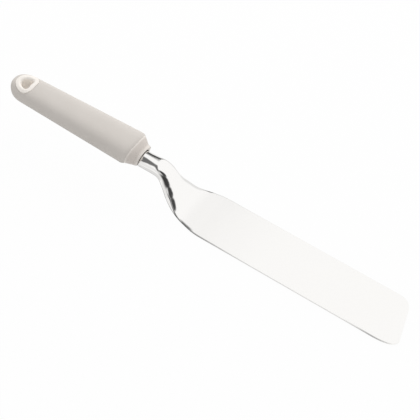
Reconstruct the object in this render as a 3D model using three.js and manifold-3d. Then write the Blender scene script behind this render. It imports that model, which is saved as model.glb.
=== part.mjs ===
// Cranked icing spatula: a stamped steel blade keyed into a moulded core under a soft grip sleeve.
// Millimetres. +X runs from the butt of the handle to the tip of the blade and +Z is up.
// The origin is in the middle of the blade's flat underside.

import * as THREE from 'three';
import { mergeVertices } from 'three/addons/utils/BufferGeometryUtils.js';
import Module from 'manifold-3d';

// Blade: flat polished sheet with a slanted end, degrees for the slant
const SHEET = 1.3;
const EDGE_BREAK = 0.3;
const BLADE_LENGTH = 183.5;
const BLADE_WIDTH = 42;
const END_SLANT = 16.3;
const SHORT_CORNER = 9.5;
const LONG_CORNER_SIDE = 22;
const LONG_CORNER_END = 9.5;

// Neck: deep rounded channel that bends down, opens and flares into the blade
const CRANK_RISE = 23.05;
const CRANK_ANGLE = 54.5;
const UPPER_BEND = 3.6;
const LOWER_BEND = 28;
const SHANK_LENGTH = 16.4;
const SHANK_WIDTH = 13.3;
const SHANK_HEIGHT = 10.75;
const ARCH_POWER = 2.2;
const FLARE_LEAD = 6.3;
const FLARE_PAST_HEEL = 17.3;
const OPENING_START = 20.5;
const OPENING_PAST_HEEL = 12.8;

// Tang: the channel goes on into the handle, then flattens to a strip with key holes
const TANG_CHANNEL = 3;
const TANG_FLATTENING = 18;
const TANG_WIDTH = 12;
const TANG_TO_EYE = 50;
const TANG_HOLE = 5;
const TANG_HOLE_PITCH = 14;
const TANG_HOLE_END = 10;

// Handle outline, measured over the grip; its axis lies above the shank's lower edges
const HANDLE_LIFT = 8.15;
const GRIP_LENGTH = 119.5;
const GRIP_FRONT_WIDTH = 29.2;
const GRIP_FRONT_HEIGHT = 20;
const GRIP_BUTT_HEIGHT = 16;
const GRIP_WALL = 2.4;
const GRIP_SHOULDER = 3.4;
const GRIP_SHOULDER_DROP = 1.2;
const GRIP_FRONT_RAKE = 2.6;
const BUTT_ROUND = 15;
const BUTT_PLAN_POWER = 2.25;
const BUTT_SIDE_POWER = 3.6;
const OVAL_POWER = 2.6;

// Nose of the core, and the lip round the shank
const NOSE_LENGTH = 5.6;
const NOSE_STEP = 0.2;
const NOSE_BULGE = 1.15;
const LIP_LENGTH = 2.6;
const LIP_SIDE = 2.15;
const LIP_BROW = 0.9;
const LIP_TAPER = 0.4;
const LIP_EDGE = 0.6;
const LIP_RAKE = 1.7;
const LIP_POWER = 2.3;
const MOUTH_GAP = 0.7;
const MOUTH_DEPTH = 2.4;
const MOUTH_SILL = 1.5;

// Key grooves round the core, which ridges inside the sleeve fill
const GROOVE_FRONT = 30;
const GROOVE_PITCH = 34;
const GROOVE_TO_EYE = 20;
const GROOVE_WIDTH = 7;
const GROOVE_DEPTH = 1.2;

// Hanging eye: a D-shaped hole whose rim stands out of the sleeve on both faces
const EYE_LENGTH = 16.2;
const EYE_WIDTH = 18;
const EYE_CORNER = 6;
const EYE_RIM = 3.8;
const EYE_SIDE = 2.4;
const EYE_TO_BUTT = 4.6;
const RIM_PROUD = 0.5;

// Clearance between touching pieces, overlap of joined solids, and steps of the curves
const FIT = 0.3;
const OVERLAP = 1;
const WELD = 0.0001;
const OVAL_POINTS = 40;
const SHEET_POINTS = 12;
const NECK_STEP = 2;
const BEND_STEP = 0.5;
const ROUND_STEP = 1;
const CURVE_SEGMENTS = 10;
const CORNER_STEPS = 10;
const BUTT_STEPS = 7;
const NOSE_STEPS = 3;
const SHOULDER_STEPS = 3;
const ROUND_POINTS = 20;
const TANG_END_SHARE = 0.96;
const LEAST_SWEEP = 0.25;

const { clamp, degToRad, lerp, smoothstep } = THREE.MathUtils;
const wasm = await Module();
wasm.setup();

// Places along X, with zero at the heel, where the flat blade begins
const shankMid = (SHANK_WIDTH - SHEET) / 2;
const archRise = SHANK_HEIGHT - SHEET / 2;
const edgeZ = SHEET / 2 + CRANK_RISE;
const tangZ = edgeZ + archRise;
const handleZ = edgeZ + HANDLE_LIFT;
const crank = degToRad(CRANK_ANGLE);
const lowerBend = Math.min(LOWER_BEND, CRANK_RISE / (1 - Math.cos(crank)) - UPPER_BEND);
const bends = UPPER_BEND + lowerBend;
const rampLength = (CRANK_RISE - bends * (1 - Math.cos(crank))) / Math.sin(crank);
const shankFront = -bends * Math.sin(crank) - rampLength * Math.cos(crank);
const lipFront = shankFront - SHANK_LENGTH;
const noseFront = lipFront - LIP_LENGTH;
const gripFront = noseFront - NOSE_LENGTH;
const noseBack = gripFront + FIT;
const butt = gripFront - GRIP_LENGTH;
const eyeFront = butt + EYE_TO_BUTT + EYE_LENGTH;
const tangEnd = eyeFront + TANG_TO_EYE;
const stripFront = lipFront - TANG_CHANNEL - TANG_FLATTENING;
const neckLength = bends * crank + rampLength;
const buttWidth = EYE_WIDTH + 2 * EYE_SIDE;
const gripHeight = Math.max(GRIP_FRONT_HEIGHT, GRIP_BUTT_HEIGHT);
const frontLean = (2 * GRIP_FRONT_RAKE) / GRIP_FRONT_HEIGHT;
const lipHalfWidth = SHANK_WIDTH / 2 + MOUTH_GAP + LIP_SIDE;
const lipHalfHeight = SHANK_HEIGHT / 2 + MOUTH_GAP + LIP_BROW;
const lipZ = edgeZ + SHANK_HEIGHT / 2;
const lipLean = LIP_RAKE / lipHalfHeight;

// Evenly spaced values from one number to another, no further apart than a step
function spread(from, to, step) {
  const count = Math.max(Math.ceil((to - from) / step), 1);
  return Array.from({ length: count + 1 }, (_, index) => lerp(from, to, index / count));
}

// A sine or cosine drawn out towards a squared oval
function squared(value, power) {
  return Math.sign(value) * Math.abs(value) ** (2 / power);
}

// A closed solid skinned over rings that follow +X and run counter-clockwise seen from its end
function loft(rings) {
  const count = rings[0].length;
  const last = (rings.length - 1) * count;
  const positions = rings.flat().flatMap((point) => point.toArray());
  const triangles = [];
  for (let ring = 0; ring < last; ring += count) {
    for (let side = 0; side < count; side += 1) {
      const here = ring + side;
      const next = ring + ((side + 1) % count);
      triangles.push(here, next, next + count, here, next + count, here + count);
    }
  }
  for (const [a, b, c] of capTriangles(count)) {
    triangles.push(a, c, b, last + a, last + b, last + c);
  }
  const geometry = new THREE.BufferGeometry();
  geometry.setAttribute('position', new THREE.Float32BufferAttribute(positions, 3));
  geometry.setIndex(triangles);
  return toSolid(geometry);
}

// Rungs back and forth across the flat end of a loft, from the ring's first point to its far side
function capTriangles(count) {
  const triangles = [];
  for (let low = 0, high = count - 1; low + 1 < high; low += 1, high -= 1) {
    triangles.push([low, low + 1, high]);
    if (low + 2 < high) {
      triangles.push([low + 1, high - 1, high]);
    }
  }
  return triangles;
}

function toSolid(geometry) {
  const bare = geometry.clone();
  bare.deleteAttribute('normal');
  bare.deleteAttribute('uv');
  const merged = mergeVertices(bare, WELD);
  const vertProperties = new Float32Array(merged.attributes.position.array);
  const triVerts = new Uint32Array(merged.index.array);
  return new wasm.Manifold(new wasm.Mesh({ numProp: 3, vertProperties, triVerts }));
}

function toMesh(name, solid, material) {
  const { vertProperties, triVerts } = solid.getMesh();
  const geometry = new THREE.BufferGeometry();
  geometry.setAttribute('position', new THREE.BufferAttribute(new Float32Array(vertProperties), 3));
  geometry.setIndex(new THREE.BufferAttribute(new Uint32Array(triVerts), 1));
  const mesh = new THREE.Mesh(geometry, material);
  mesh.name = name;
  return mesh;
}

// An upright round pin through the tang's middle plane
function uprightPin(x, diameter, height) {
  const geometry = new THREE.CylinderGeometry(diameter / 2, diameter / 2, height, ROUND_POINTS);
  geometry.rotateX(Math.PI / 2);
  geometry.translate(x, 0, tangZ);
  return toSolid(geometry);
}

// Line of the channel's lower edges in the XZ plane, from a start on the straight shank to the heel
function edgeLine(start) {
  const up = Math.PI / 2;
  const line = new THREE.Path();
  line.moveTo(start, edgeZ);
  line.lineTo(shankFront, edgeZ);
  line.absarc(shankFront, edgeZ - UPPER_BEND, UPPER_BEND, up, up - crank, true);
  line.absarc(0, SHEET / 2 + lowerBend, lowerBend, -up - crank, -up, false);
  return line;
}

// Middle of the sheet's section: the crown of a squared oval, cut off sooner where the channel is shallower
class SheetArch extends THREE.Curve {
  constructor(halfWidth, rise, depth) {
    super();
    const sweep = lerp(LEAST_SWEEP, Math.PI / 2, depth);
    Object.assign(this, { halfWidth, rise, sweep });
  }

  getPoint(share) {
    const turn = (2 * share - 1) * this.sweep;
    const across = squared(Math.sin(turn), ARCH_POWER) / squared(Math.sin(this.sweep), ARCH_POWER);
    const foot = squared(Math.cos(this.sweep), ARCH_POWER);
    const up = (squared(Math.cos(turn), ARCH_POWER) - foot) / (1 - foot);
    return new THREE.Vector2(this.halfWidth * across, this.rise * up);
  }
}

// The arch of the sheet at a length along it from the upper bend
function sheetArch(along, start) {
  const behind = shankFront + along;
  const rolled = smoothstep(behind, stripFront, stripFront + TANG_FLATTENING);
  const flared = smoothstep(along, -FLARE_LEAD, neckLength + FLARE_PAST_HEEL);
  const opened = smoothstep(along, OPENING_START, neckLength + OPENING_PAST_HEEL);
  const tangHalf = TANG_WIDTH / 2;
  const fromEnd = clamp(1 - (behind - start) / tangHalf, 0, TANG_END_SHARE);
  const tangWidth = tangHalf * Math.sqrt(1 - fromEnd * fromEnd);
  const widened = lerp(shankMid, BLADE_WIDTH / 2, flared);
  const depth = rolled * (1 - opened);
  return new SheetArch(rolled < 1 ? lerp(tangWidth, widened, rolled) : widened, archRise * depth, depth);
}

// A ring round the sheet: over its top, round one broken edge, back underneath and round the other
function sheetRing(place, half, reach, inset) {
  const shares = spread(-inset, inset, (2 * inset) / SHEET_POINTS);
  return [
    ...shares.map((share) => place(-share, half)),
    place(-reach, half - EDGE_BREAK),
    place(-reach, EDGE_BREAK - half),
    ...shares.map((share) => place(share, -half)),
    place(reach, EDGE_BREAK - half),
    place(reach, half - EDGE_BREAK),
  ];
}

// A ring of the arched sheet, grown all round by a clearance
function archRing(origin, normal, arch, clearance) {
  const half = SHEET / 2 + clearance;
  const halfArc = arch.getLength() / 2;
  const reach = 1 + clearance / halfArc;
  const place = (share, lift) => {
    const inside = clamp(share, -1, 1);
    const point = arch.getPointAt((1 + inside) / 2);
    const way = arch.getTangentAt((1 + inside) / 2);
    point.addScaledVector(way, (share - inside) * halfArc);
    const across = point.x - lift * way.y;
    const rise = point.y + lift * way.x;
    return new THREE.Vector3(origin.x + normal.x * rise, across, origin.y + normal.y * rise);
  };
  return sheetRing(place, half, reach, reach - EDGE_BREAK / halfArc);
}

// A ring of the flat blade, straight across it from a point on one side to a point on the other
function flatRing(low, high, half) {
  const place = (share, lift) => {
    const point = low.clone().lerp(high, (1 + share) / 2);
    return new THREE.Vector3(point.x, point.y, SHEET / 2 + lift);
  };
  return sheetRing(place, half, 1, 1 - (2 * EDGE_BREAK) / low.distanceTo(high));
}

// The sheet from the end of the tang to the end of the flare, grown all round by a clearance
function neckRings(clearance) {
  const start = tangEnd - clearance;
  const line = edgeLine(start);
  const lineLength = line.getLength();
  const stations = [
    ...spread(start, start + TANG_WIDTH / 2, ROUND_STEP),
    ...spread(stripFront, stripFront + TANG_FLATTENING, ROUND_STEP),
  ].map((x) => x - shankFront);
  const bendEnd = UPPER_BEND * crank;
  stations.push(...spread(-FLARE_LEAD, 0, NECK_STEP), ...spread(0, bendEnd, BEND_STEP).slice(1));
  stations.push(...spread(bendEnd, neckLength + FLARE_PAST_HEEL, NECK_STEP).slice(1));
  return stations.map((along) => {
    const arch = sheetArch(along, start);
    const onLine = clamp(along + shankFront - start, 0, lineLength);
    const origin = line.getPoint(onLine / lineLength);
    const tangent = line.getTangent(onLine / lineLength);
    origin.x += Math.max(along - neckLength, 0);
    origin.y += along < 0 ? archRise - arch.rise : 0;
    const normal = new THREE.Vector2(-tangent.y, tangent.x);
    return archRing(origin, normal, arch, clearance);
  });
}

// Flat blade to its slanted end with a broken edge: one corner well rounded, the longer one drawn in
function tipRings() {
  const half = BLADE_WIDTH / 2;
  const slant = degToRad(END_SLANT);
  const endWay = new THREE.Vector2(-Math.sin(slant), Math.cos(slant));
  const longCorner = new THREE.Vector2(BLADE_LENGTH + half * Math.tan(slant), -half);
  const shortCorner = new THREE.Vector2(BLADE_LENGTH - half * Math.tan(slant), half);
  const longCurve = new THREE.QuadraticBezierCurve(
    new THREE.Vector2(longCorner.x - LONG_CORNER_SIDE, -half),
    longCorner,
    longCorner.clone().addScaledVector(endWay, LONG_CORNER_END),
  );
  const shortCurve = new THREE.QuadraticBezierCurve(
    new THREE.Vector2(shortCorner.x - SHORT_CORNER, half),
    shortCorner,
    shortCorner.clone().addScaledVector(endWay, -SHORT_CORNER),
  );
  return spread(0, 1, 1 / CORNER_STEPS).map((share) => {
    const broken = share === 1 ? EDGE_BREAK / 2 : 0;
    return flatRing(longCurve.getPoint(share), shortCurve.getPoint(share), SHEET / 2 - broken);
  });
}

// Key holes along the flat strip of the tang, as many as fit at their pitch
function keyHolePlaces() {
  const room = stripFront - tangEnd - 2 * TANG_HOLE_END;
  const count = Math.max(Math.floor(room / TANG_HOLE_PITCH), 0) + 1;
  return Array.from({ length: count }, (_, index) => tangEnd + TANG_HOLE_END + index * TANG_HOLE_PITCH);
}

function bladeSolid() {
  let solid = loft([...neckRings(0), ...tipRings()]);
  for (const x of keyHolePlaces()) {
    solid = solid.subtract(uprightPin(x, TANG_HOLE, SHEET + 2 * OVERLAP));
  }
  return solid;
}

// Half width and half height of the handle over the grip, drawn in towards the rounded butt
function handleSize(x) {
  const share = (gripFront - x) / GRIP_LENGTH;
  const drawn = clamp(1 - (x - butt) / BUTT_ROUND, 0, 1);
  const plan = (1 - drawn ** BUTT_PLAN_POWER) ** (1 / BUTT_PLAN_POWER);
  const side = (1 - drawn ** BUTT_SIDE_POWER) ** (1 / BUTT_SIDE_POWER);
  return {
    halfWidth: (lerp(GRIP_FRONT_WIDTH, buttWidth, share) / 2) * plan,
    halfHeight: (lerp(GRIP_FRONT_HEIGHT, GRIP_BUTT_HEIGHT, share) / 2) * side,
  };
}

// A squared oval across the handle; a lean sets its top forward and its bottom back
function ovalRing(x, halfWidth, halfHeight, centreZ, power, lean = 0) {
  return Array.from({ length: OVAL_POINTS }, (_, index) => {
    const angle = (2 * Math.PI * index) / OVAL_POINTS;
    const across = squared(Math.cos(angle), power);
    const z = centreZ + halfHeight * squared(Math.sin(angle), power);
    return new THREE.Vector3(x + lean * (z - centreZ), halfWidth * across, z);
  });
}

// A ring of the handle's outline, grown or shrunk evenly
function handleRing(x, growth, lean = 0) {
  const { halfWidth, halfHeight } = handleSize(x);
  return ovalRing(x, halfWidth + growth, halfHeight + growth, handleZ, OVAL_POWER, lean);
}

// Outline of the whole grip with its rounded butt and the rounded shoulder at its front
function gripRings(growth) {
  const places = [];
  for (let step = BUTT_STEPS; step > 0; step -= 1) {
    const turn = (step / (BUTT_STEPS + 1)) * (Math.PI / 2);
    places.push(butt + BUTT_ROUND * (1 - Math.sin(turn)));
  }
  places.push(butt + BUTT_ROUND);
  const rings = places.map((x) => handleRing(x, growth));
  for (let step = 0; step <= SHOULDER_STEPS; step += 1) {
    const share = step / SHOULDER_STEPS;
    const x = gripFront - GRIP_SHOULDER * (1 - share);
    rings.push(handleRing(x, growth - GRIP_SHOULDER_DROP * share * share, frontLean));
  }
  return rings;
}

// Middles of the key grooves from the eye to the front, as many as fit at their pitch
function groovePlaces() {
  const front = gripFront - GROOVE_FRONT;
  const last = Math.max(Math.floor((front - eyeFront - GROOVE_TO_EYE) / GROOVE_PITCH), 0);
  return Array.from({ length: last + 1 }, (_, index) => front - (last - index) * GROOVE_PITCH);
}

// Core inside the grip with its key grooves; a clearance gives the hollow that it sits in
function spineRings(clearance, front) {
  const rings = [handleRing(eyeFront - EYE_CORNER - clearance, clearance - GRIP_WALL)];
  const top = GROOVE_WIDTH / 2 + GROOVE_DEPTH / 2;
  const floor = GROOVE_WIDTH / 2 - GROOVE_DEPTH / 2;
  for (const middle of groovePlaces()) {
    rings.push(handleRing(middle - top, clearance - GRIP_WALL));
    rings.push(handleRing(middle - floor, clearance - GRIP_WALL - GROOVE_DEPTH));
    rings.push(handleRing(middle + floor, clearance - GRIP_WALL - GROOVE_DEPTH));
    rings.push(handleRing(middle + top, clearance - GRIP_WALL));
  }
  rings.push(handleRing(front, clearance - GRIP_WALL, frontLean));
  return rings;
}

// Nose that narrows and drops from the grip's front to the lip round the shank
function noseRings() {
  const base = handleSize(gripFront);
  const baseDrop = GRIP_SHOULDER_DROP + NOSE_STEP;
  const rings = [];
  for (let step = 0; step <= NOSE_STEPS; step += 1) {
    const share = (step / NOSE_STEPS) ** NOSE_BULGE;
    const x = lerp(noseBack, noseFront, step / NOSE_STEPS);
    const halfWidth = lerp(base.halfWidth - baseDrop, lipHalfWidth + LIP_TAPER, share);
    const halfHeight = lerp(base.halfHeight - baseDrop, lipHalfHeight + LIP_TAPER, share);
    const power = lerp(OVAL_POWER, LIP_POWER, share);
    const lean = lerp(frontLean, lipLean, share);
    rings.push(ovalRing(x, halfWidth, halfHeight, lerp(handleZ, lipZ, share), power, lean));
  }
  rings.push(ovalRing(lipFront - LIP_EDGE, lipHalfWidth, lipHalfHeight, lipZ, LIP_POWER, lipLean));
  const [faceWidth, faceHeight] = [lipHalfWidth - LIP_EDGE, lipHalfHeight - LIP_EDGE];
  rings.push(ovalRing(lipFront, faceWidth, faceHeight, lipZ, LIP_POWER, lipLean));
  return rings;
}

// Recess in the lip that leaves an even gap over the shank, down to a sill at its edges
function mouth() {
  const halfWidth = SHANK_WIDTH / 2 + MOUTH_GAP;
  const height = SHANK_HEIGHT + MOUTH_GAP;
  const sill = Math.asin((MOUTH_SILL / height) ** (ARCH_POWER / 2));
  const turns = spread(sill, Math.PI - sill, Math.PI / ROUND_POINTS);
  const shape = new THREE.Shape(turns.map((turn) => new THREE.Vector2(
    halfWidth * squared(Math.cos(turn), ARCH_POWER),
    edgeZ + height * squared(Math.sin(turn), ARCH_POWER),
  )));
  const depth = MOUTH_DEPTH + LIP_RAKE + OVERLAP;
  const geometry = new THREE.ExtrudeGeometry(shape, { depth, bevelEnabled: false });
  const acrossUpAlong = new THREE.Matrix4().makeBasis(
    new THREE.Vector3(0, 1, 0), new THREE.Vector3(0, 0, 1), new THREE.Vector3(1, 0, 0),
  );
  geometry.applyMatrix4(acrossUpAlong);
  geometry.translate(lipFront - MOUTH_DEPTH, 0, 0);
  return toSolid(geometry);
}

// Upright D-shaped column at the eye: straight towards the blade, round towards the butt
function eyeColumn(growth) {
  const half = EYE_WIDTH / 2 + growth;
  const front = eyeFront + growth;
  const corner = Math.max(EYE_CORNER + growth, FIT);
  const length = EYE_LENGTH + 2 * growth;
  const shape = new THREE.Shape();
  shape.moveTo(front, corner - half);
  shape.lineTo(front, half - corner);
  shape.absarc(front - corner, half - corner, corner, 0, Math.PI / 2, false);
  shape.absellipse(front - corner, 0, length - corner, half, Math.PI / 2, 1.5 * Math.PI, false);
  shape.absarc(front - corner, corner - half, corner, 1.5 * Math.PI, 2 * Math.PI, false);
  const depth = gripHeight + 2 * RIM_PROUD + 2 * OVERLAP;
  const options = { depth, bevelEnabled: false, curveSegments: CURVE_SEGMENTS };
  const geometry = new THREE.ExtrudeGeometry(shape, options);
  geometry.translate(0, 0, handleZ - depth / 2);
  return toSolid(geometry);
}

function coreSolid() {
  const rim = eyeColumn(0).intersect(loft(gripRings(RIM_PROUD)));
  const full = loft([...spineRings(0, noseBack), ...noseRings()]).add(rim);
  let solid = full.subtract(loft(neckRings(FIT))).subtract(mouth()).subtract(eyeColumn(-EYE_RIM));
  for (const x of keyHolePlaces()) {
    solid = solid.add(uprightPin(x, TANG_HOLE - 2 * FIT, SHEET + 2 * OVERLAP));
  }
  return solid;
}

// Outside to the front, then back along the hollow, with a window for the eye's rim
function sleeveSolid() {
  const hollow = spineRings(FIT, gripFront).reverse();
  return loft([...gripRings(0), ...hollow]).subtract(eyeColumn(FIT));
}

const steel = new THREE.MeshStandardMaterial({ color: 0xd9dbdc, metalness: 1, roughness: 0.14 });
const ivory = new THREE.MeshStandardMaterial({ color: 0xf1ebe4, metalness: 0, roughness: 0.45 });
const softGrey = new THREE.MeshStandardMaterial({ color: 0xcfc9c2, metalness: 0, roughness: 0.85 });

const spatula = new THREE.Group();
spatula.position.x = -BLADE_LENGTH / 2;
spatula.add(toMesh('blade', bladeSolid(), steel));
spatula.add(toMesh('handle_core', coreSolid(), ivory));
spatula.add(toMesh('grip_sleeve', sleeveSolid(), softGrey));

const part = new THREE.Group();
part.add(spatula);

export default part;
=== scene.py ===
# %% [markdown]
# # An icing spatula in three pieces
# A cranked icing spatula is a stamped steel blade, a hard ivory core that is moulded round the
# blade's tang, and a soft grip that is moulded over the core. The frame loaded here holds those
# three pieces as faceted solids in their true places. Polished steel shows every facet, so each
# solid is replaced below by a fine mesh of the same shape, and the solids stay for collision.

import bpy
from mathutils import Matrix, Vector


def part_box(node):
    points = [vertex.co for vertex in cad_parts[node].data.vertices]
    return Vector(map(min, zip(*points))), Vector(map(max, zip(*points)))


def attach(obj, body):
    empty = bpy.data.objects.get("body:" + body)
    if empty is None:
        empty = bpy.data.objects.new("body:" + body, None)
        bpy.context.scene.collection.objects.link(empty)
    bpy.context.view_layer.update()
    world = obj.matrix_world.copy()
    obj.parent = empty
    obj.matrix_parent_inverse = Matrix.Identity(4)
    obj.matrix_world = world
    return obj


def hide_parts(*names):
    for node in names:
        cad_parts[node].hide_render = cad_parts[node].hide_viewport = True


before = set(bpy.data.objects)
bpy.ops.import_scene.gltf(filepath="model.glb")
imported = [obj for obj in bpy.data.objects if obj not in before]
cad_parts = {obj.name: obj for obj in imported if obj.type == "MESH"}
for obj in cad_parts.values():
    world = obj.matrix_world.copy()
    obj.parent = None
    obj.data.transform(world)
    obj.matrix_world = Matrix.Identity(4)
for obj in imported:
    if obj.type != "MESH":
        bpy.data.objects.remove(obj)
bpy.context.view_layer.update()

# %% [markdown]
# Blender's own modules make the meshes and the materials, and numpy works out the curves. Sizes are
# written in millimetres, as on a drawing, and the frame is in metres.

# %% Modules
import math
from functools import lru_cache

import bmesh
import bpy
import numpy as np
from mathutils import Vector

scene = bpy.context.scene
MM = 0.001

# %% [markdown]
# ## Camera
# The photograph looks down at 54 degrees from the side of the blade's longer corner. A long lens
# about a metre away gives its slight perspective. The three numbers of a view (round, up, away)
# are easier to read and to correct than a position and three angles, so both are worked out.

# %% Camera at the photograph's viewing angle
VIEW_ROUND, VIEW_UP = math.radians(34.9), math.radians(54.105)
VIEW_AWAY = 1.03
VIEW_TARGET = Vector((-0.08245, 0.00483, 0.0))
to_camera = Vector((
    math.sin(VIEW_ROUND) * math.cos(VIEW_UP),
    -math.cos(VIEW_ROUND) * math.cos(VIEW_UP),
    math.sin(VIEW_UP),
))
camera = bpy.data.objects.new("photo_camera", bpy.data.cameras.new("photo_camera"))
camera.data.sensor_width = 36
camera.data.lens = 115.1
camera.location = VIEW_TARGET + VIEW_AWAY * to_camera
camera.rotation_euler = to_camera.to_track_quat("Z", "Y").to_euler()
scene.collection.objects.link(camera)
scene.camera = camera
print("Camera at", [round(value, 4) for value in camera.location])

# %% [markdown]
# ## Studio
# Polished metal looks like the room that it stands in. The room here is a white light tent: white
# all round and below, with a dark opening on the camera's side and a narrow dark gap on the far side.
# Those dark areas draw the black streaks on the curved neck and leave the flat blade white. Fainter
# patches stand for the table and for the room behind the handle. All of them are soft patches in the
# world's colour, by direction, so they stay put when the camera moves. Two small helpers come first:
# one adds a node and fills its sockets, and the other starts a node group.

# %% Helpers that add shader nodes and groups
def place(tree, kind, sockets=None, **options):
    """Adds a node, sets its options, and links or fills its input sockets."""
    node = tree.nodes.new(kind)
    for name, value in options.items():
        setattr(node, name, value)
    for name, value in (sockets or {}).items():
        if isinstance(value, bpy.types.NodeSocket):
            tree.links.new(value, node.inputs[name])
        else:
            node.inputs[name].default_value = value
    return node


def new_group(name, inputs, outputs):
    """A shader node group with named sockets, and its two end nodes."""
    tree = bpy.data.node_groups.new(name, "ShaderNodeTree")
    for sockets, side in ((inputs, "INPUT"), (outputs, "OUTPUT")):
        for socket, kind in sockets.items():
            tree.interface.new_socket(socket, in_out=side, socket_type="NodeSocket" + kind)
    return tree, tree.nodes.new("NodeGroupInput"), tree.nodes.new("NodeGroupOutput")

# %% [markdown]
# One opening is an oval on the sphere of directions. Three turns bring its middle to +Y and level it,
# so that X is then the way across it and Z the way up it. Divided by the oval's half sizes, the length
# of that offset is 1 on the oval's edge, and the dark fades out softly there.

# %% Soft dark opening of the tent, by direction
patch_tree, patch_in, patch_out = new_group(
    "tent_opening",
    {"Direction": "Vector", "Round": "Float", "Up": "Float", "Tilt": "Float",
     "Width": "Float", "Height": "Float"},
    {"Dark": "Float"},
)
faced = place(patch_tree, "ShaderNodeVectorRotate",
              {"Vector": patch_in.outputs["Direction"], "Angle": patch_in.outputs["Round"]},
              rotation_type="Z_AXIS")
raised = place(patch_tree, "ShaderNodeVectorRotate",
               {"Vector": faced.outputs[0], "Angle": patch_in.outputs["Up"]},
               rotation_type="X_AXIS", invert=True)
level = place(patch_tree, "ShaderNodeVectorRotate",
              {"Vector": raised.outputs[0], "Angle": patch_in.outputs["Tilt"]},
              rotation_type="Y_AXIS")
way = place(patch_tree, "ShaderNodeSeparateXYZ", {0: level.outputs[0]})
across = place(patch_tree, "ShaderNodeMath", {0: way.outputs["X"], 1: patch_in.outputs["Width"]},
               operation="DIVIDE")
above = place(patch_tree, "ShaderNodeMath", {0: way.outputs["Z"], 1: patch_in.outputs["Height"]},
              operation="DIVIDE")
offset = place(patch_tree, "ShaderNodeCombineXYZ", {"X": across.outputs[0], "Y": above.outputs[0]})
reach = place(patch_tree, "ShaderNodeVectorMath", {0: offset.outputs[0]}, operation="LENGTH")
soft_edge = place(patch_tree, "ShaderNodeMapRange",
                  {"Value": reach.outputs["Value"], "From Min": 0.7, "From Max": 1.2,
                   "To Min": 1.0, "To Max": 0.0}, interpolation_type="SMOOTHSTEP")
in_front = place(patch_tree, "ShaderNodeMath", {0: way.outputs["Y"], 1: 0.0},
                 operation="GREATER_THAN")
dark = place(patch_tree, "ShaderNodeMath", {0: soft_edge.outputs[0], 1: in_front.outputs[0]},
             operation="MULTIPLY")
patch_tree.links.new(dark.outputs[0], patch_out.inputs["Dark"])
print("Group", patch_tree.name, "with", len(patch_tree.nodes), "nodes")

# %% [markdown]
# Each opening is set by what it stands for: how far round and up it is, how large, how tilted and how
# dark. Where openings overlap, the light that one leaves is cut down by the next.

# %% Openings of the tent
OPENINGS = {  # degrees round from +Y towards +X, degrees up, half width, half height, tilt, how dark
    "camera side": (174, 6.2, 23.8, 14.7, -23.5, 0.94),
    "table edge": (171.6, -22.8, 17.2, 28.4, 57.5, 0.95),
    "handle side": (206.8, 18.6, 8.6, 36.5, -15, 0.84),
    "far side": (334.1, 20, 2.9, 35.4, 15.2, 0.96),
    "far table edge": (344.8, -18, 19.3, 31.3, -79, 0.2),
    "table in front": (201, -24.7, 20.3, 11.7, -5.4, 0.15),
    "table below": (207.5, -49, 21.2, 11.1, -11, 0.25),
    "behind the handle": (270, 10, 32, 28, 0, 0.45),
}
world = bpy.data.worlds.new("light_tent")
world.use_nodes = True
scene.world = world
sky = world.node_tree
sky.nodes.clear()
direction = place(sky, "ShaderNodeTexCoord").outputs["Generated"]
light_left = None
for name, (turn, up, wide, high, tilt, depth) in OPENINGS.items():
    patch = place(sky, "ShaderNodeGroup", node_tree=patch_tree, label=name)
    sky.links.new(direction, patch.inputs["Direction"])
    patch.inputs["Round"].default_value = math.radians(turn)
    patch.inputs["Up"].default_value = math.radians(up)
    patch.inputs["Tilt"].default_value = math.radians(tilt)
    patch.inputs["Width"].default_value = math.sin(math.radians(wide))
    patch.inputs["Height"].default_value = math.sin(math.radians(high))
    kept = place(sky, "ShaderNodeMath", {0: patch.outputs["Dark"], 1: -depth, 2: 1.0},
                 operation="MULTIPLY_ADD").outputs[0]
    light_left = kept if light_left is None else place(
        sky, "ShaderNodeMath", {0: light_left, 1: kept}, operation="MULTIPLY").outputs[0]
print("World with", len(OPENINGS), "dark openings")

# %% [markdown]
# The world then has three faces. The camera sees plain white, as behind any cut-out product picture.
# Reflections see the tent with its openings. Everything else is lit by a weaker even room light, which
# leaves work for the lamp above, so that the handle's near side is darker than its top.

# %% The world's three faces
ROOM_LEVEL = 0.68
tent = place(sky, "ShaderNodeBackground", {"Color": light_left, "Strength": 1.0})
room = place(sky, "ShaderNodeBackground", {"Color": (1, 1, 1, 1), "Strength": ROOM_LEVEL})
plain = place(sky, "ShaderNodeBackground", {"Color": (1, 1, 1, 1), "Strength": 1.0})
seen = place(sky, "ShaderNodeLightPath")
mirrored = place(sky, "ShaderNodeMixShader",
                 {0: seen.outputs["Is Glossy Ray"], 1: room.outputs[0], 2: tent.outputs[0]})
either = place(sky, "ShaderNodeMixShader",
               {0: seen.outputs["Is Camera Ray"], 1: mirrored.outputs[0], 2: plain.outputs[0]})
place(sky, "ShaderNodeOutputWorld", {"Surface": either.outputs[0]})
scene.view_settings.view_transform = "Standard"

# %% [markdown]
# The floor is a large sheet just under the blade. Reflections leave it out, because the tent's own
# white goes on below it.

# %% Floor
FLOOR_DROP = 0.0003
FLOOR_HALF = 1.6
corners = ((-1, -1), (1, -1), (1, 1), (-1, 1))
floor_mesh = bpy.data.meshes.new("floor")
floor_points = [(x * FLOOR_HALF, y * FLOOR_HALF, -FLOOR_DROP) for x, y in corners]
floor_mesh.from_pydata(floor_points, [], [(0, 1, 2, 3)])
floor = bpy.data.objects.new("floor", floor_mesh)
floor.visible_glossy = False
scene.collection.objects.link(floor)
print("Floor sheet", 2 * FLOOR_HALF, "m wide,", FLOOR_DROP, "m below the blade")

# %% [markdown]
# The sheet is matt white. The camera sees it mostly as plain white, by Light Path, and the rest of it
# is an ordinary lit surface, so a faint contact shadow stays under the blade and the handle.

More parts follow.
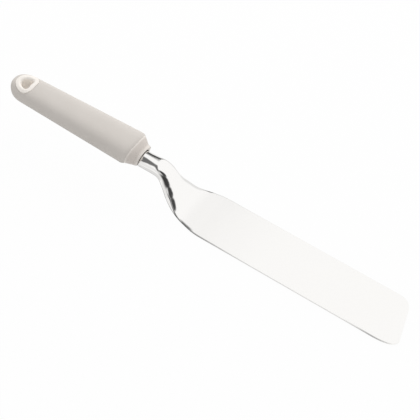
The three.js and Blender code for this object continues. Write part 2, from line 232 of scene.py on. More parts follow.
# %% Paint of the floor
PLAIN_SHARE = 0.97
MATT_WHITE = (0.8, 0.8, 0.8, 1)
floor_paint = bpy.data.materials.new("white_sweep")
floor_paint.use_nodes = True
tree = floor_paint.node_tree
tree.nodes.clear()
seen = place(tree, "ShaderNodeLightPath")
share = place(tree, "ShaderNodeMath", {0: seen.outputs["Is Camera Ray"], 1: PLAIN_SHARE},
              operation="MULTIPLY")
matt = place(tree, "ShaderNodeBsdfDiffuse", {"Color": MATT_WHITE})
white = place(tree, "ShaderNodeEmission", {"Color": (1, 1, 1, 1), "Strength": 1.0})
either = place(tree, "ShaderNodeMixShader",
               {0: share.outputs[0], 1: matt.outputs[0], 2: white.outputs[0]})
place(tree, "ShaderNodeOutputMaterial", {"Surface": either.outputs[0]})
floor_mesh.materials.append(floor_paint)

# %% [markdown]
# One large lamp above the far side lights the top of the handle more than its near side, as in the
# photograph. It is wide, so its shadow has no edge.

# %% Soft lamp
LAMP_SIZE = 0.9
LAMP_POWER = 7.5
LAMP_PLACE = Vector((-0.35, 0.95, 0.8))
LAMP_AIM = Vector((-0.12, 0, 0))
lamp = bpy.data.objects.new("softbox", bpy.data.lights.new("softbox", "AREA"))
lamp.data.shape = "DISK"
lamp.data.size = LAMP_SIZE
lamp.data.energy = LAMP_POWER
lamp.location = LAMP_PLACE
lamp.rotation_euler = (LAMP_PLACE - LAMP_AIM).to_track_quat("Z", "Y").to_euler()
lamp.visible_glossy = False
scene.collection.objects.link(lamp)
print("Lamp", LAMP_SIZE, "m across,", round((LAMP_PLACE - LAMP_AIM).length, 2), "m from the handle")

# %% [markdown]
# ## Shared finish groups
# Three small effects make up the finishes, and each is a node group with its own sockets. The first
# is the haze that hands and washing leave, as broad soft clouds in the roughness.

# %% Handling haze
tree, ends_in, ends_out = new_group(
    "handling_haze", {"Size": "Float", "Low": "Float", "High": "Float"}, {"Haze": "Float"})
where = place(tree, "ShaderNodeTexCoord").outputs["Object"]
broad = place(tree, "ShaderNodeTexNoise",
              {"Vector": where, "Scale": ends_in.outputs["Size"], "Detail": 4.0, "Roughness": 0.6})
spread_out = place(tree, "ShaderNodeMapRange",
                   {"Value": broad.outputs["Fac"], "From Min": 0.32, "From Max": 0.68,
                    "To Min": ends_in.outputs["Low"], "To Max": ends_in.outputs["High"]})
tree.links.new(spread_out.outputs[0], ends_out.inputs["Haze"])
handling_haze = tree

# %% [markdown]
# The second is the rubbed edge. Hands and hooks polish the raised edges of a moulding first, and the
# mesh's own pointiness says where those are.

# %% Rubbed edge
tree, ends_in, ends_out = new_group(
    "rubbed_edge", {"Start": "Float", "Full": "Float"}, {"Rub": "Float"})
edge = place(tree, "ShaderNodeNewGeometry").outputs["Pointiness"]
rub = place(tree, "ShaderNodeMapRange",
            {"Value": edge, "From Min": ends_in.outputs["Start"], "From Max": ends_in.outputs["Full"]},
            interpolation_type="SMOOTHSTEP")
tree.links.new(rub.outputs[0], ends_out.inputs["Rub"])
rubbed_edge = tree

# %% [markdown]
# The third is the fine grain that a mould leaves. The pits give a height for the bump and, together
# with a broader cloud, a slight mottle between two close colours.

# %% Mould grain
MOTTLE_SCALE = 60.0


def mixed_colour(tree, share, first, second):
    """A colour between two, each a socket or a plain value, by a share."""
    node = place(tree, "ShaderNodeMix", {0: share, 6: first, 7: second}, data_type="RGBA")
    return node.outputs[2]


tree, ends_in, ends_out = new_group(
    "mould_grain", {"Grain": "Float", "Colour": "Color", "Shade": "Color", "Mottle": "Float"},
    {"Colour": "Color", "Height": "Float"})
where = place(tree, "ShaderNodeTexCoord").outputs["Object"]
pits = place(tree, "ShaderNodeTexNoise",
             {"Vector": where, "Scale": ends_in.outputs["Grain"], "Detail": 2.0, "Roughness": 0.5})
cloud = place(tree, "ShaderNodeTexNoise",
              {"Vector": where, "Scale": MOTTLE_SCALE, "Detail": 3.0, "Roughness": 0.55})
both = place(tree, "ShaderNodeMath", {0: pits.outputs["Fac"], 1: cloud.outputs["Fac"]},
             operation="MULTIPLY")
amount = place(tree, "ShaderNodeMath", {0: both.outputs[0], 1: ends_in.outputs["Mottle"]},
               operation="MULTIPLY")
tint = mixed_colour(tree, amount.outputs[0], ends_in.outputs["Colour"], ends_in.outputs["Shade"])
tree.links.new(tint, ends_out.inputs["Colour"])
tree.links.new(pits.outputs["Fac"], ends_out.inputs["Height"])
mould_grain = tree
print("Node groups:", [group.name for group in bpy.data.node_groups])

# %% [markdown]
# ## Finishes
# Every finish is a Principled shader. Its plain values are set straight on its sockets, and only what
# varies over the piece comes from nodes. Colours are written as they look on the screen and are turned
# into the linear values that the shader counts in.

# %% Start of a finish
def from_screen(red, green, blue):
    """Linear colour of an 8-bit screen colour."""
    return tuple(((value / 255 + 0.055) / 1.055) ** 2.4 for value in (red, green, blue)) + (1.0,)


def new_finish(name, **sockets):
    """A material with a Principled shader whose plain sockets are set straight on it."""
    material = bpy.data.materials.new(name)
    material.use_nodes = True
    tree = material.node_tree
    tree.nodes.clear()
    shader = place(tree, "ShaderNodeBsdfPrincipled",
                   {key.replace("_", " "): value for key, value in sockets.items()})
    place(tree, "ShaderNodeOutputMaterial", {"Surface": shader.outputs[0]})
    return material, tree, shader


def use_group(tree, group, **values):
    """Places a node group in a material and fills its inputs."""
    return place(tree, "ShaderNodeGroup", values, node_tree=group)

# %% [markdown]
# ## Polished steel
# The blade is belt polished lengthwise and then buffed, so its lines run along the sheet, down
# through the crank as well. Each vertex of the blade mesh stores how far along and how far across
# the sheet it is, and the lines are a noise stretched in those two lengths. An image would need the
# sheet unwrapped first, and the stored lengths don't. Each vertex also stores a dull share, which
# makes the steel rougher and paints it dark. The roughness is the unpolished cut edge; the dark
# colour is painted shade, for the shadow under the edges and the darker reflection near the heel.

# %% Polished steel
FACE_STEEL = (0.955, 0.944, 0.927, 1)
# Painted shade: the near-black colour that the dull share paints the steel towards.
SHADED_EDGE_STEEL = (0.13, 0.13, 0.127, 1)
LINE_STRETCH = (0.03, 5.0, 1.0)
LINE_ROUGHNESS = 0.04
DULL_ROUGHNESS = 0.3
polished_steel, tree, shader = new_finish("polished_steel", Metallic=1.0)
along = place(tree, "ShaderNodeAttribute", attribute_name="along").outputs["Fac"]
across = place(tree, "ShaderNodeAttribute", attribute_name="across").outputs["Fac"]
stretched = place(tree, "ShaderNodeCombineXYZ", {"X": along, "Y": across})
shrunk = place(tree, "ShaderNodeVectorMath", {0: stretched.outputs[0], 1: LINE_STRETCH},
               operation="MULTIPLY")
lines = place(tree, "ShaderNodeTexNoise",
              {"Vector": shrunk.outputs[0], "Scale": 1.0, "Detail": 6.0, "Roughness": 0.7})
haze = use_group(tree, handling_haze, Size=25.0, Low=0.03, High=0.09)
lined = place(tree, "ShaderNodeMath",
              {0: lines.outputs["Fac"], 1: LINE_ROUGHNESS, 2: haze.outputs["Haze"]},
              operation="MULTIPLY_ADD")
# This share makes the steel rougher and paints it darker, as painted shade.
dull_and_shade = place(tree, "ShaderNodeAttribute", attribute_name="dull_and_shade").outputs["Fac"]
tree.links.new(mixed_colour(tree, dull_and_shade, FACE_STEEL, SHADED_EDGE_STEEL), shader.inputs["Base Color"])
ground = place(tree, "ShaderNodeMath", {0: dull_and_shade, 1: DULL_ROUGHNESS, 2: lined.outputs[0]},
               operation="MULTIPLY_ADD")
tree.links.new(ground.outputs[0], shader.inputs["Roughness"])
relief = place(tree, "ShaderNodeBump",
               {"Height": lines.outputs["Fac"], "Strength": 0.04, "Distance": 0.0001})
tree.links.new(relief.outputs[0], shader.inputs["Normal"])

# %% [markdown]
# ## Ivory plastic
# The core is a hard moulding in warm white with a satin face. It has a very fine mould grain, a
# little colour change in depth, and it gets shinier where hands and hooks rub its edges. The grip is
# moulded over it second. The nose and the lip are painted a darker tone than the rim, as painted shade
# for faces that turn away from the lamp, and the wall of the narrow recess round the shank is painted
# dark, as painted shade for the deep gap.

# %% Ivory plastic
# Painted shade on the ivory: a darker tone for the nose's faces turned from the lamp, and near-black for
# the deep gap of the recess.
PAINTED_SHADES = {"nose_shade": from_screen(216, 208, 201), "recess": from_screen(70, 66, 62)}
RUB_SHINE = -0.12
ivory_plastic, tree, shader = new_finish("ivory_plastic")
grain = use_group(tree, mould_grain, Grain=2600.0, Colour=from_screen(252, 247, 241),
                  Shade=from_screen(240, 232, 223), Mottle=0.9)
colour = grain.outputs["Colour"]
for layer, tone in PAINTED_SHADES.items():
    painted_share = place(tree, "ShaderNodeAttribute", attribute_name=layer).outputs["Fac"]
    colour = mixed_colour(tree, painted_share, colour, tone)
tree.links.new(colour, shader.inputs["Base Color"])
rub = use_group(tree, rubbed_edge, Start=0.52, Full=0.6)
haze = use_group(tree, handling_haze, Size=90.0, Low=0.36, High=0.5)
satin = place(tree, "ShaderNodeMath", {0: rub.outputs["Rub"], 1: RUB_SHINE, 2: haze.outputs["Haze"]},
              operation="MULTIPLY_ADD")
tree.links.new(satin.outputs[0], shader.inputs["Roughness"])
relief = place(tree, "ShaderNodeBump",
               {"Height": grain.outputs["Height"], "Strength": 0.05, "Distance": 0.0001})
tree.links.new(relief.outputs[0], shader.inputs["Normal"])

# %% [markdown]
# ## Soft rubber
# The grip is a thermoplastic rubber, matt and slightly velvety. Its mould was blasted, so it has an
# even stipple that catches no highlight, and the colour drifts very slightly along the handle.

# %% Soft grip rubber
soft_rubber, tree, shader = new_finish("soft_rubber", Sheen_Weight=0.15, Sheen_Roughness=0.5)
grain = use_group(tree, mould_grain, Grain=1900.0, Colour=from_screen(218, 212, 206),
                  Shade=from_screen(202, 196, 189), Mottle=0.8)
tree.links.new(grain.outputs["Colour"], shader.inputs["Base Color"])
haze = use_group(tree, handling_haze, Size=70.0, Low=0.72, High=0.86)
tree.links.new(haze.outputs["Haze"], shader.inputs["Roughness"])
relief = place(tree, "ShaderNodeBump",
               {"Height": grain.outputs["Height"], "Strength": 0.22, "Distance": 0.00015})
tree.links.new(relief.outputs[0], shader.inputs["Normal"])
print("Finishes:", [material.name for material in bpy.data.materials if material.use_nodes])

# %% [markdown]
# ## Skins over rings
# All three pieces are drawn out along the tool, so all three are skins over a row of rings. A ring
# is a closed loop of points, and neighbouring rings are joined by quads. A subdivision surface would
# need fewer points, but its edges are hard to place to a tenth of a millimetre. Sizes are in millimetres
# from the heel, where the flat blade begins, and become metres in the frame at the very end.

# %% Values between two others
def mix(low, high, share):
    """The value at a share of the way from low to high."""
    return low + (high - low) * share


def spread(low, high, count):
    """Evenly spaced values from low to high, both included."""
    return [mix(low, high, index / count) for index in range(count + 1)]


def smooth_step(value, low, high):
    """0 below low, 1 above high, and a soft rise between them."""
    share = min(max((value - low) / (high - low), 0.0), 1.0)
    return share * share * (3 - 2 * share)

# %% [markdown]
# A skin takes its rings in order and puts one quad between each two neighbouring points of a ring and
# the next ring. The first or the last ring can be closed with a flat face.

# %% Rings to mesh
BLADE_LENGTH = 183.5
HEEL = Vector((-BLADE_LENGTH / 2, 0, 0))


def skin(mesh, rings, close_start=False, close_end=False):
    """Adds quads between rings of equal length, and a flat end on the first or last ring."""
    loops = [[mesh.verts.new((HEEL + point) * MM) for point in ring] for ring in rings]
    for loop, following in zip(loops, loops[1:]):
        for index, corner in enumerate(loop):
            other = (index + 1) % len(loop)
            mesh.faces.new((corner, loop[other], following[other], following[index]))
    if close_start:
        mesh.faces.new(reversed(loops[0]))
    if close_end:
        mesh.faces.new(loops[-1])
    return loops

# %% [markdown]
# A finished mesh is welded where its skins meet and shaded smooth. Weighted normals let the large
# faces lead, so that a flat face stays flat right up to its rounded edge. The piece then rides on the
# part's only body and stands for its CAD node.

# %% Mesh to piece
WELD = 2e-7


def to_piece(name, mesh, finish, node):
    """Welds the skins, makes the object, and puts it in place of its CAD node."""
    bmesh.ops.remove_doubles(mesh, verts=mesh.verts, dist=WELD)
    bmesh.ops.recalc_face_normals(mesh, faces=mesh.faces)
    data = bpy.data.meshes.new(name)
    mesh.to_mesh(data)
    mesh.free()
    data.shade_smooth()
    data.materials.append(finish)
    piece = bpy.data.objects.new(name, data)
    scene.collection.objects.link(piece)
    weighted = piece.modifiers.new("flat_faces_lead", "WEIGHTED_NORMAL")
    weighted.keep_sharp = True
    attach(piece, "root")
    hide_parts(node)
    low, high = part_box(node)
    print(name, len(data.vertices), "vertices,", len(data.polygons), "faces, stands for", node,
          [round(value, 4) for value in low], [round(value, 4) for value in high])

# %% [markdown]
# ## Blade: the line of the crank
# The sheet is followed from the end of the tang to the tip. Its lower edges run straight out of the
# handle, bend down, and bend level again at the heel: two arcs with a straight ramp between them. The
# rise and the angle of the crank are given, and the length of the ramp follows from them.

# %% Sizes of the crank
SHEET = 1.3
CRANK_RISE = 23.05
CRANK_ANGLE = math.radians(54.5)
UPPER_BEND = 3.6
LOWER_BEND = 28.0
SHANK_LENGTH = 16.4

edge_z = SHEET / 2 + CRANK_RISE
bends = UPPER_BEND + LOWER_BEND
ramp_length = (CRANK_RISE - bends * (1 - math.cos(CRANK_ANGLE))) / math.sin(CRANK_ANGLE)
shank_front = -bends * math.sin(CRANK_ANGLE) - ramp_length * math.cos(CRANK_ANGLE)
neck_length = bends * CRANK_ANGLE + ramp_length
print("Neck", round(neck_length, 2), "mm along, shank ends", round(shank_front, 2), "mm from the heel")

# %% [markdown]
# Two plain arcs would leave a visible kink in the reflections where they start and stop. So the turning
# is blurred a little along the sheet, and the line is then summed up from it.

# %% Line of the crank
BEND_BLUR = 0.6
LINE_STEP = 0.1
LINE_MARGIN = 20

line_along = np.arange(-LINE_MARGIN, neck_length + LINE_MARGIN, LINE_STEP)
upper_end = UPPER_BEND * CRANK_ANGLE
lower_start = upper_end + ramp_length
sharp_turn = np.interp(line_along, [0, upper_end, lower_start, neck_length],
                       [0, CRANK_ANGLE, CRANK_ANGLE, 0])
blur_places = np.arange(-3 * BEND_BLUR, 3 * BEND_BLUR, LINE_STEP)
blur = np.exp(-0.5 * (blur_places / BEND_BLUR) ** 2)
padded_turn = np.pad(sharp_turn, len(blur) // 2, mode="edge")
line_turn = np.convolve(padded_turn, blur / blur.sum(), mode="same")[len(blur) // 2:][:len(line_along)]
line_x = np.concatenate([[0], np.cumsum(np.cos(line_turn[:-1]) * LINE_STEP)])
line_z = np.concatenate([[0], -np.cumsum(np.sin(line_turn[:-1]) * LINE_STEP)])
line_x += -line_x[-1] + line_along[-1] - neck_length
line_z = edge_z + line_z * (edge_z - SHEET / 2) / -line_z[-1]
print("Line of", len(line_along), "points, down to", round(line_z[-1], 2), "mm above the underside")


def neck_line(along):
    """Place of the channel's lower edges and the downward turn, along from the upper bend."""
    if along < line_along[0]:
        return shank_front + along, edge_z, 0.0
    beyond = max(along - line_along[-1], 0)
    x, z, turn = (np.interp(along, line_along, values) for values in (line_x, line_z, line_turn))
    return float(x) + beyond, float(z), float(turn)

# %% [markdown]
# ## Blade: the sheet's section
# Across, the sheet is an arch: a deep rounded channel in the shank, then wider and lower until it is
# the flat blade. Inside the handle it flattens the other way, to a narrow tang with a round end. The
# deep channel is the upper half of a squared oval, with upright walls. Where the channel is shallower
# only the crown of that oval is used, so its walls lean out more and more until they lie flat. The
# press squares the channel a little more round the upper bend, where the metal is worked hardest. The
# small trim keeps rounded numbers from carrying the mesh past the box of the solid.

# %% Sizes of the section
BLADE_WIDTH = 42.0
TRIM = 0.005
SHANK_HALF_WIDTH = 6.65
SHANK_HEIGHT = 10.75
ARCH_POWER = 2.2
BEND_SQUARE = 0.55
SQUARING, EASING = (-13, 1), (2, 12)
FLARE_START = -6.3
FLARE_PAST_HEEL = 17.3
OPENING_START = 20.5
OPENING_PAST_HEEL = 12.8
LEAST_SWEEP = 0.25
TANG_CHANNEL = 3.0
TANG_FLATTENING = 18.0
TANG_WIDTH = 12.0
TANG_LENGTH = 56.9
TANG_END_CUT = 0.97
MIDDLE_POINTS = 721

# %% [markdown]
# The middle of the sheet is worked out first, as a dense row of points across it. Half the thickness
# is laid on each side of that row later, so the sheet is as thick on the walls as on the crown.

# %% Points of the sheet's middle
shank_mid = SHANK_HALF_WIDTH - SHEET / 2
arch_rise = SHANK_HEIGHT - SHEET / 2
lip_front = shank_front - SHANK_LENGTH
tang_end = lip_front - TANG_LENGTH
strip_front = lip_front - TANG_CHANNEL - TANG_FLATTENING


def squared(value, power):
    """A sine or cosine drawn out towards a squared oval."""
    return np.copysign(np.abs(value) ** (2 / power), value)


def swell(value, rise, fall):
    """Rises softly from 0 to 1 over one range of values and falls again over another."""
    return smooth_step(value, *rise) * (1 - smooth_step(value, *fall))


def sheet_middle(along):
    """Points (across, up) of the sheet's middle and its rise, at a length along from the bend."""
    behind = shank_front + along
    rolled = smooth_step(behind, strip_front, strip_front + TANG_FLATTENING)
    opened = smooth_step(along, OPENING_START, neck_length + OPENING_PAST_HEEL)
    flared = smooth_step(along, FLARE_START, neck_length + FLARE_PAST_HEEL)
    half_width = mix(shank_mid, BLADE_WIDTH / 2 - TRIM, flared)
    if rolled < 1:
        from_end = min(max(1 - (behind - tang_end) / (TANG_WIDTH / 2), 0), TANG_END_CUT)
        half_width = mix(TANG_WIDTH / 2 * math.sqrt(1 - from_end ** 2), shank_mid, rolled)
    deep = rolled * (1 - opened)
    power = ARCH_POWER + BEND_SQUARE * swell(along, SQUARING, EASING)
    sweep = mix(LEAST_SWEEP, math.pi / 2, deep)
    turns = np.linspace(-sweep, sweep, MIDDLE_POINTS)
    foot = squared(math.cos(sweep), power)
    across = squared(np.sin(turns), power) / squared(math.sin(sweep), power)
    up = (squared(np.cos(turns), power) - foot) / (1 - foot)
    return half_width * across, arch_rise * deep * up, arch_rise * deep

# %% [markdown]
# A ring goes over the top of the sheet, round one edge, back underneath and round the other edge.
# The edges are rounded, as buffing leaves them, and a thin bright line runs along them.

# %% Outline of the flat section
EDGE_ROUND = 0.2
EDGE_STEPS = 4
ACROSS_STEPS = 56


def sheet_outline(half_across, half_thick=SHEET / 2):
    """Points (across, lift) round the flat section of the sheet, with rounded edges."""
    round_off = min(EDGE_ROUND, half_thick)
    flat, deep = half_across - round_off, half_thick - round_off
    quarter = spread(0, math.pi / 2, EDGE_STEPS)
    side = [(flat + round_off * math.cos(turn), deep + round_off * math.sin(turn)) for turn in quarter]
    over = [(a, half_thick) for a in spread(flat, -flat, ACROSS_STEPS)[1:-1]]
    upper = side + over + [(-a, lift) for a, lift in reversed(side)]
    return upper + [(-a, -lift) for a, lift in upper]

# %% [markdown]
# The flat outline is then laid on the arch. The arch is measured along its own curve, so that the points
# sit evenly on the walls and on the crown alike.

# %% Ring of the arched sheet
def arch_ring(along):
    """A ring of the arched sheet, and how far across the sheet each of its points is."""
    middle_y, middle_up, rise = sheet_middle(along)
    x, z, turn = neck_line(along)
    if along < 0:
        z += arch_rise - rise
    steps = np.hypot(np.diff(middle_y), np.diff(middle_up))
    length = np.concatenate([[0], np.cumsum(steps)])
    length -= length[-1] / 2
    slope_y, slope_up = np.gradient(middle_y, length), np.gradient(middle_up, length)
    points = []
    outline = sheet_outline(length[-1])
    for across, lift in outline:
        here_y, here_up, way_y, way_up = (
            float(np.interp(across, length, values))
            for values in (middle_y, middle_up, slope_y, slope_up))
        size = math.hypot(way_y, way_up)
        y = here_y - lift * way_up / size
        up = here_up + lift * way_y / size
        points.append(Vector((x + math.sin(turn) * up, y, z + math.cos(turn) * up)))
    return points, [across for across, _ in outline]

# %% [markdown]
# ## Blade: the slanted tip
# The end is cut at a slant. The longer corner is drawn in over a long curve and the shorter one is
# well rounded. Rings follow both corners at once. They close in on the end as the square of what is
# left of the curves, and the last few get thinner on the way, which rounds the end's own edge.

# %% Rings of the tip
END_SLANT = math.radians(16.3)
SHORT_CORNER = 9.5
LONG_CORNER_SIDE = 22.0
LONG_CORNER_END = 9.5
CORNER_STEPS = 28

half_blade = BLADE_WIDTH / 2 - TRIM
end_way = Vector((-math.sin(END_SLANT), math.cos(END_SLANT), 0))
long_corner = Vector((BLADE_LENGTH - TRIM + half_blade * math.tan(END_SLANT), -half_blade, 0))
short_corner = Vector((BLADE_LENGTH - half_blade * math.tan(END_SLANT), half_blade, 0))
CORNERS = (
    (long_corner - Vector((LONG_CORNER_SIDE, 0, 0)), long_corner,
     long_corner + LONG_CORNER_END * end_way),
    (short_corner - Vector((SHORT_CORNER, 0, 0)), short_corner,
     short_corner - SHORT_CORNER * end_way),
)


def tip_ring(share, half_thick=SHEET / 2):
    """A ring straight across the blade between equal shares of the two corner curves."""
    low, high = (
        start * (1 - share) ** 2 + corner * 2 * share * (1 - share) + end * share ** 2
        for start, corner, end in CORNERS)
    half = (high - low).length / 2
    return [low.lerp(high, 0.5 + across / (2 * half)) + Vector((0, 0, SHEET / 2 + lift))
            for across, lift in sheet_outline(half, half_thick)]


print("Corners", round(long_corner.x, 2), "and", round(short_corner.x, 2), "mm from the heel")

# %% [markdown]
# ## Blade: all its rings
# Rings are close together where the sheet bends, because reflections there change within a
# millimetre, and far apart on the straight tang and the flat blade.

# %% Rings from the tang to the tip
NECK_STEP = 0.8
TANG_STEPS, FLATTENING_STEPS, FLAT_STEPS = 12, 14, 12
stations = [tang_end - shank_front + x for x in spread(0, TANG_WIDTH / 2, TANG_STEPS)]
channel_back = strip_front + TANG_FLATTENING
stations += [x - shank_front for x in spread(strip_front, channel_back, FLATTENING_STEPS)]
flare_end = neck_length + FLARE_PAST_HEEL
stations += spread(-SHANK_LENGTH, flare_end, round((SHANK_LENGTH + flare_end) / NECK_STEP))
tip_start = CORNERS[0][0].x
stations += [neck_length + x for x in spread(FLARE_PAST_HEEL, tip_start, FLAT_STEPS)[1:-1]]
blade_rings, blade_across = zip(*(arch_ring(along) for along in stations))
blade_rings, blade_across = list(blade_rings), list(blade_across)
tip_depth = (LONG_CORNER_SIDE + SHORT_CORNER) / 2 * math.cos(END_SLANT)
round_start = 1 - math.sqrt(EDGE_ROUND / tip_depth)
tip_cuts = [(share, SHEET / 2) for share in spread(0, round_start, CORNER_STEPS)[:-1]]
for turn in spread(0, math.pi / 2, 2 * EDGE_STEPS):
    share = 1 - math.sqrt(EDGE_ROUND * (1 - math.sin(turn)) / tip_depth)
    tip_cuts.append((share, SHEET / 2 - EDGE_ROUND * (1 - math.cos(turn))))
for share, half_thick in tip_cuts:
    ring = tip_ring(share, half_thick)
    stations.append(neck_length + mix(tip_start, BLADE_LENGTH, share))
    blade_rings.append(ring)
    blade_across.append([point.y for point in ring])
print("Blade of", len(blade_rings), "rings with", len(blade_rings[0]), "points each")

# %% [markdown]
# ## Blade: where it is dull and painted dark
# The cut edge is dull and painted darkest at the heel, and clears towards the tip. A short dark run
# comes back where the long corner curves in. The far edge gets much less of this. Just past the heel
# the face is painted a touch greyer, as a painted reflection, and a narrow rim beside the near edge
# is painted as dark as the edge itself. The dark is painted shade; the same share also roughens the
# steel. Lengths are in millimetres from the heel.

# %% Dullness and painted shade of the edges and the face
EDGE_CLEARS = (-14, 66)
EDGE_LEAST = 0.05
FAR_EDGE = 0.25
CORNER_DULL_AND_SHADE, CORNER_RISE, CORNER_FALL = 0.6, (150, 162), (167, 178)
FACE_DULL_AND_SHADE, FACE_RISE, FACE_FALL = 0.06, (-6, 5), (0, 75)
RIM_RISE, RIM_FALL = (-5, 0), (6, 12)
RIM_FADES = (1.1, 2.1)


def edge_dull_and_shade(from_heel, across):
    """How dull and how dark with painted shade the cut edge is, on the near (across < 0) or the far side.
    """
    heel = 1 - (1 - EDGE_LEAST) * smooth_step(from_heel, *EDGE_CLEARS)
    corner = CORNER_DULL_AND_SHADE * swell(from_heel, CORNER_RISE, CORNER_FALL)
    return max(heel, corner) if across < 0 else FAR_EDGE * heel


def face_dull_and_shade(from_heel, from_edge):
    """How dull and how dark with painted shade the face is, at a length from the heel and from the near
    edge.
    """
    face = FACE_DULL_AND_SHADE * swell(from_heel, FACE_RISE, FACE_FALL)
    rim = swell(from_heel, RIM_RISE, RIM_FALL) * (1 - smooth_step(from_edge, *RIM_FADES))
    return max(face, rim)

# %% [markdown]
# The rings become one skin. Each vertex keeps its length along and across the sheet, for the polishing
# lines, and its dullness, which also sets its painted shade.

# %% Skin of the blade
mesh = bmesh.new()
along_layer = mesh.verts.layers.float.new("along")
across_layer = mesh.verts.layers.float.new("across")
dull_and_shade_layer = mesh.verts.layers.float.new("dull_and_shade")
loops = skin(mesh, blade_rings, close_start=True, close_end=True)
for along, places, loop in zip(stations, blade_across, loops):
    face_end = max(places) - EDGE_ROUND
    for vert, across in zip(loop, places):
        vert[along_layer] = along
        vert[across_layer] = across
        on_edge = abs(across) > face_end - 0.01
        from_heel = along - neck_length
        from_edge = across + max(places)
        # Each vertex gets its share of dullness and painted shade, on the edge or on the face.
        vert[dull_and_shade_layer] = (edge_dull_and_shade(from_heel, across) if on_edge
                            else face_dull_and_shade(from_heel, from_edge))
to_piece("polished_blade", mesh, polished_steel, "blade")

# %% [markdown]
# ## Handle: the outline
# Across, the handle is a squared oval, wider at the front than at the butt. At the butt it is drawn
# in: quickly in the side view and slowly in plan, which gives the blunt rounded end. At the front the
# rings lean, with the top forward and the bottom back, as the grip's front edge does in the photograph.
# A box with a subdivision modifier could be pushed into this form by eye, and rings take it from sizes.

# %% Sizes of the handle
HANDLE_LIFT = 8.15
GRIP_LENGTH = 119.5
GRIP_FRONT_WIDTH = 29.2
GRIP_FRONT_HEIGHT = 20.0
GRIP_BUTT_HEIGHT = 16.0
BUTT_WIDTH = 22.8
BUTT_ROUND = 15.0
BUTT_PLAN_POWER = 2.25
BUTT_SIDE_POWER = 3.6
BUTT_TRIM = 0.3
OVAL_POWER = 2.6
OVAL_POINTS = 112
NOSE_LENGTH = 5.6
LIP_LENGTH = 2.6
FRONT_LEAN = 0.26

# %% [markdown]
# One function gives the half width and half height at any place along the handle. The rings of the
# grip and the core come from it, and so does the height of the upper face, which the eye needs.

# %% Rings and top of the handle
handle_z = edge_z + HANDLE_LIFT
nose_front = lip_front - LIP_LENGTH
grip_front = nose_front - NOSE_LENGTH
butt = grip_front - GRIP_LENGTH + BUTT_TRIM
oval_turns = [2 * math.pi * index / OVAL_POINTS for index in range(OVAL_POINTS)]
print("Handle", round(lip_front - butt, 2), "mm long, its middle", round(handle_z, 2), "mm up")


def handle_size(x):
    """Half width and half height of the handle over the grip."""
    share = (grip_front - x) / GRIP_LENGTH
    drawn = min(max(1 - (x - butt) / BUTT_ROUND, 0), 1)
    plan = (1 - drawn ** BUTT_PLAN_POWER) ** (1 / BUTT_PLAN_POWER)
    side = (1 - drawn ** BUTT_SIDE_POWER) ** (1 / BUTT_SIDE_POWER)
    return (mix(GRIP_FRONT_WIDTH, BUTT_WIDTH, share) / 2 * plan,
            mix(GRIP_FRONT_HEIGHT, GRIP_BUTT_HEIGHT, share) / 2 * side)


def oval_ring(x, half_width, half_height, centre_z, power, lean=0.0):
    """A squared oval across the handle; a lean sets its top forward and its bottom back."""
    points = []
    for turn in oval_turns:
        up = half_height * squared(math.sin(turn), power)
        points.append(Vector((x + lean * up, half_width * squared(math.cos(turn), power), centre_z + up)))
    return points


def handle_ring(x, growth=0.0, lean=0.0):
    """A ring of the handle's own outline, grown by some millimetres."""
    half_width, half_height = handle_size(x)
    return oval_ring(x, half_width + growth, half_height + growth, handle_z, OVAL_POWER, lean)


def handle_top(x, y, growth=0.0):
    """Height of the handle's upper face above a point in plan."""
    half_width, half_height = handle_size(x)
    share = min(abs(y) / max(half_width + growth, 1e-6), 1)
    return handle_z + (half_height + growth) * (1 - share ** OVAL_POWER) ** (1 / OVAL_POWER)

# %% [markdown]
# ## Handle: the D-shaped eye
# The eye is straight towards the blade and round towards the butt. Its outline is wanted at several
# sizes: the hole, the rim and the window in the grip. A dense outline is turned once into radius by
# angle, and any spoke from the middle of the eye then meets it at a known place.

# %% Outline of the eye at any size
EYE_LENGTH = 17.2
EYE_WIDTH = 18.4
EYE_CORNER = 6.0
EYE_RIM = 4.4
EYE_TO_BUTT = 5.2
EYE_MIDDLE = 0.45
LEAST_CORNER = 1.2
FRONT_POINTS, CORNER_POINTS, BACK_POINTS = 60, 120, 240

eye_front = grip_front - GRIP_LENGTH + EYE_TO_BUTT + EYE_LENGTH
eye_middle = eye_front - EYE_MIDDLE * EYE_LENGTH
print("Eye", EYE_LENGTH, "by", EYE_WIDTH, "mm, its front", round(eye_front - butt, 2), "mm from the butt")


@lru_cache(maxsize=None)
def eye_radii(growth):
    """Angles and radii from the middle of the eye to its outline, grown by some millimetres."""
    half = EYE_WIDTH / 2 + growth
    front = eye_front + growth
    corner = max(EYE_CORNER + growth, LEAST_CORNER)
    length = EYE_LENGTH + 2 * growth
    points = [(front, y) for y in spread(0, half - corner, FRONT_POINTS)]
    points += [(front - corner + corner * math.cos(turn), half - corner + corner * math.sin(turn))
               for turn in spread(0, math.pi / 2, CORNER_POINTS)]
    points += [(front - corner + (length - corner) * math.cos(turn), half * math.sin(turn))
               for turn in spread(math.pi / 2, math.pi, BACK_POINTS)]
    angles = [math.atan2(y, x - eye_middle) for x, y in points]
    radii = [math.hypot(x - eye_middle, y) for x, y in points]
    return np.array(angles), np.array(radii)


def eye_point(angle, growth):
    """Plan point of the eye's outline on the spoke at an angle."""
    radius = float(np.interp(abs(math.remainder(angle, 2 * math.pi)), *eye_radii(growth)))
    return eye_middle + radius * math.cos(angle), radius * math.sin(angle)

# %% [markdown]
# ## Soft grip
# The grip is one skin: over the outside to its rounded front edge, in over the edge, and back along
# the hollow for the core. Round the eye the rings can't go on, because the window would cut them. A
# Boolean cut would be shorter to write, but it leaves thin triangles that shade badly at the window.
# So the upper and lower faces there are spokes, from the window to the outline of the handle, and the
# first ring of the rest of the grip is the end of the spokes that point to the blade.

# %% Plan of the spokes
FIT = 0.3
EYE_END = 6.5
WINDOW_GAP = 0.05
WINDOW_ROUND = 0.25
WINDOW_WALL = 2.0
CROWDING, CROWDING_REACH = 2.3, 4.0
SIDE_STEPS = 8
BUTT_STEPS = 18
SPOKE_STEPS = 20

